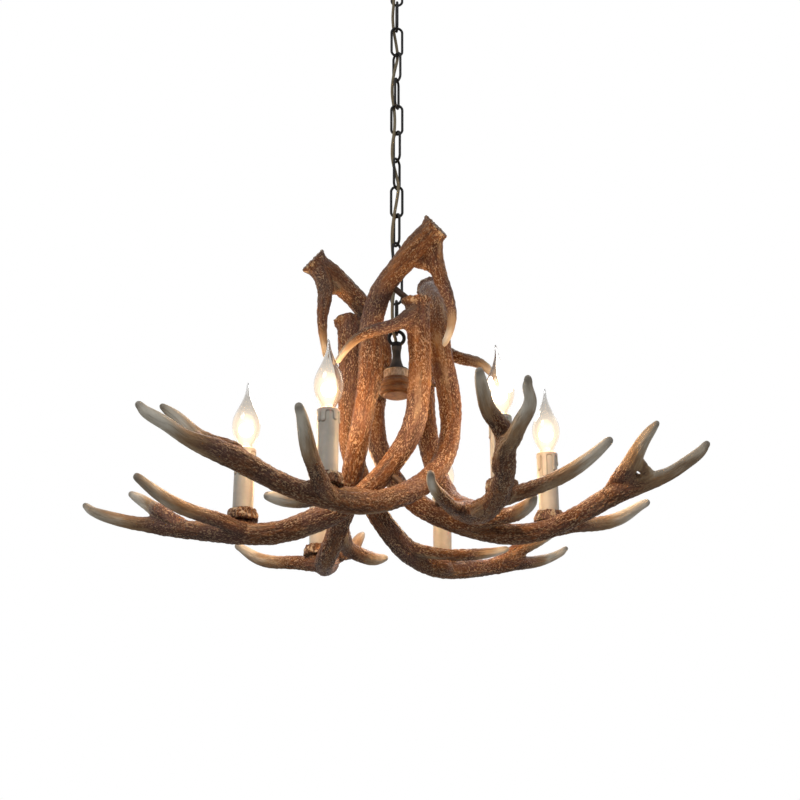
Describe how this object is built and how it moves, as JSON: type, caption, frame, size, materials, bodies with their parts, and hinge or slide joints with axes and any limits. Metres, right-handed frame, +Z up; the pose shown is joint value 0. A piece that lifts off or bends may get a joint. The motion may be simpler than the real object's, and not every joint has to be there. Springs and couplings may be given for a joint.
{
  "type": "antler chandelier",
  "caption": "Ceiling light of curved antlers ringed round a turned hub on a link chain, each antler carrying a candle-style lamp in a cup.",
  "frame": {"origin": "middle of the ceiling bracket's top face, in the ceiling plane", "axes": "+Z up through the ceiling, -Y towards the front of the light, +X to its right"},
  "size_m": [0.7582, 0.7462, 0.8971],
  "materials": {
    "black_iron": "blackened, satin",
    "dark_iron": "dark grey patina, satin",
    "bronze_band": "aged bronze, worn bright on the flutes",
    "hub_brown": "brown turned finish, satin",
    "zinc_steel": "zinc plated",
    "brown_steel": "brown stained to match the antlers",
    "cord_cloth": "woven tan cloth over the wires",
    "lampholder": "glazed",
    "antler_resin": "cast resin, stained brown with pale tips, beaded relief",
    "cup_resin": "cast resin, dark brown, rough",
    "candle_sleeve": "ivory with raised wax drips",
    "lamp_cap": "nickel plated, threaded",
    "lamp_glass": "clear"
  },
  "bodies": {
    "ceiling_set": {"ceiling_bracket": "zinc_steel", "threaded_nipple": "zinc_steel", "nipple_nut": "zinc_steel", "canopy": "black_iron", "canopy_loop": "black_iron", "supply_cord": "cord_cloth"},
    "link_01": {"chain_link_01": "black_iron"},
    "link_02": {"chain_link_02": "black_iron"},
    "link_03": {"chain_link_03": "black_iron"},
    "link_04": {"chain_link_04": "black_iron"},
    "link_05": {"chain_link_05": "black_iron"},
    "link_06": {"chain_link_06": "black_iron"},
    "link_07": {"chain_link_07": "black_iron"},
    "link_08": {"chain_link_08": "black_iron"},
    "link_09": {"chain_link_09": "black_iron"},
    "link_10": {"chain_link_10": "black_iron"},
    "link_11": {"chain_link_11": "black_iron"},
    "link_12": {"chain_link_12": "black_iron"},
    "link_13": {"chain_link_13": "black_iron"},
    "fixture": {"hub_loop": "black_iron", "hub_neck": "dark_iron", "hub_collar": "bronze_band", "hub_body": "hub_brown", "hub_cap": "hub_brown", "hub_rod": "zinc_steel", "hub_studs": "brown_steel", "joint_screws": "brown_steel", "candle_nipples": "zinc_steel", "lampholders": "lampholder", "antler_1": "antler_resin", "candle_cup_1": "cup_resin", "candle_sleeve_1": "candle_sleeve", "antler_2": "antler_resin", "candle_cup_2": "cup_resin", "candle_sleeve_2": "candle_sleeve", "antler_3": "antler_resin", "candle_cup_3": "cup_resin", "candle_sleeve_3": "candle_sleeve", "antler_4": "antler_resin", "candle_cup_4": "cup_resin", "candle_sleeve_4": "candle_sleeve", "antler_5": "antler_resin", "candle_cup_5": "cup_resin", "candle_sleeve_5": "candle_sleeve", "antler_6": "antler_resin", "candle_cup_6": "cup_resin", "candle_sleeve_6": "candle_sleeve"},
    "bulb_1": {"bulb_cap_1": "lamp_cap", "bulb_glass_1": "lamp_glass"},
    "bulb_2": {"bulb_cap_2": "lamp_cap", "bulb_glass_2": "lamp_glass"},
    "bulb_3": {"bulb_cap_3": "lamp_cap", "bulb_glass_3": "lamp_glass"},
    "bulb_4": {"bulb_cap_4": "lamp_cap", "bulb_glass_4": "lamp_glass"},
    "bulb_5": {"bulb_cap_5": "lamp_cap", "bulb_glass_5": "lamp_glass"},
    "bulb_6": {"bulb_cap_6": "lamp_cap", "bulb_glass_6": "lamp_glass"}
  },
  "joints": [
    {"name": "canopy_loop_swing", "type": "hinge", "parent": "ceiling_set", "child": "link_01", "pos_m": [0, 0, -0.0509], "axis": [0, 1, 0], "range_deg": [-8, 8], "deforming": ["supply_cord"]},
    {"name": "link_02_swing", "type": "hinge", "parent": "link_01", "child": "link_02", "pos_m": [0, 0, -0.0931], "axis": [0.9962, 0.0872, 0], "range_deg": [-8, 8]},
    {"name": "link_03_swing", "type": "hinge", "parent": "link_02", "child": "link_03", "pos_m": [0, 0, -0.13585], "axis": [-0.0872, 0.9962, 0], "range_deg": [-8, 8]},
    {"name": "link_04_swing", "type": "hinge", "parent": "link_03", "child": "link_04", "pos_m": [0, 0, -0.1786], "axis": [0.9903, 0.1392, 0], "range_deg": [-8, 8]},
    {"name": "link_05_swing", "type": "hinge", "parent": "link_04", "child": "link_05", "pos_m": [0, 0, -0.22135], "axis": [0.6428, -0.766, 0], "range_deg": [-8, 8]},
    {"name": "link_06_swing", "type": "hinge", "parent": "link_05", "child": "link_06", "pos_m": [0, 0, -0.2641], "axis": [0.309, 0.9511, 0], "range_deg": [-8, 8]},
    {"name": "link_07_swing", "type": "hinge", "parent": "link_06", "child": "link_07", "pos_m": [0, 0, -0.30685], "axis": [0.9986, 0.0523, 0], "range_deg": [-8, 8]},
    {"name": "link_08_swing", "type": "hinge", "parent": "link_07", "child": "link_08", "pos_m": [0, 0, -0.3496], "axis": [0.5446, -0.8387, 0], "range_deg": [-8, 8]},
    {"name": "link_09_swing", "type": "hinge", "parent": "link_08", "child": "link_09", "pos_m": [0, 0, -0.39235], "axis": [0.5, 0.866, 0], "range_deg": [-8, 8]},
    {"name": "link_10_swing", "type": "hinge", "parent": "link_09", "child": "link_10", "pos_m": [0, 0, -0.4351], "axis": [1, 0, 0], "range_deg": [-8, 8]},
    {"name": "link_11_swing", "type": "hinge", "parent": "link_10", "child": "link_11", "pos_m": [0, 0, -0.47785], "axis": [0.4695, -0.8829, 0], "range_deg": [-8, 8]},
    {"name": "link_12_swing", "type": "hinge", "parent": "link_11", "child": "link_12", "pos_m": [0, 0, -0.5206], "axis": [0.6691, 0.7431, 0], "range_deg": [-8, 8]},
    {"name": "link_13_swing", "type": "hinge", "parent": "link_12", "child": "link_13", "pos_m": [0, 0, -0.56335], "axis": [0.9063, -0.4226, 0], "range_deg": [-8, 8]},
    {"name": "fixture_swing", "type": "hinge", "parent": "link_13", "child": "fixture", "pos_m": [0, 0, -0.6061], "axis": [0.0872, 0.9962, 0], "range_deg": [-8, 8]},
    {"name": "bulb_1_lift", "type": "slide", "parent": "fixture", "child": "bulb_1", "axis": [0, 0, 1], "range_m": [0, 0.03]},
    {"name": "bulb_2_lift", "type": "slide", "parent": "fixture", "child": "bulb_2", "axis": [0, 0, 1], "range_m": [0, 0.03]},
    {"name": "bulb_3_lift", "type": "slide", "parent": "fixture", "child": "bulb_3", "axis": [0, 0, 1], "range_m": [0, 0.03]},
    {"name": "bulb_4_lift", "type": "slide", "parent": "fixture", "child": "bulb_4", "axis": [0, 0, 1], "range_m": [0, 0.03]},
    {"name": "bulb_5_lift", "type": "slide", "parent": "fixture", "child": "bulb_5", "axis": [0, 0, 1], "range_m": [0, 0.03]},
    {"name": "bulb_6_lift", "type": "slide", "parent": "fixture", "child": "bulb_6", "axis": [0, 0, 1], "range_m": [0, 0.03]}
  ]
}
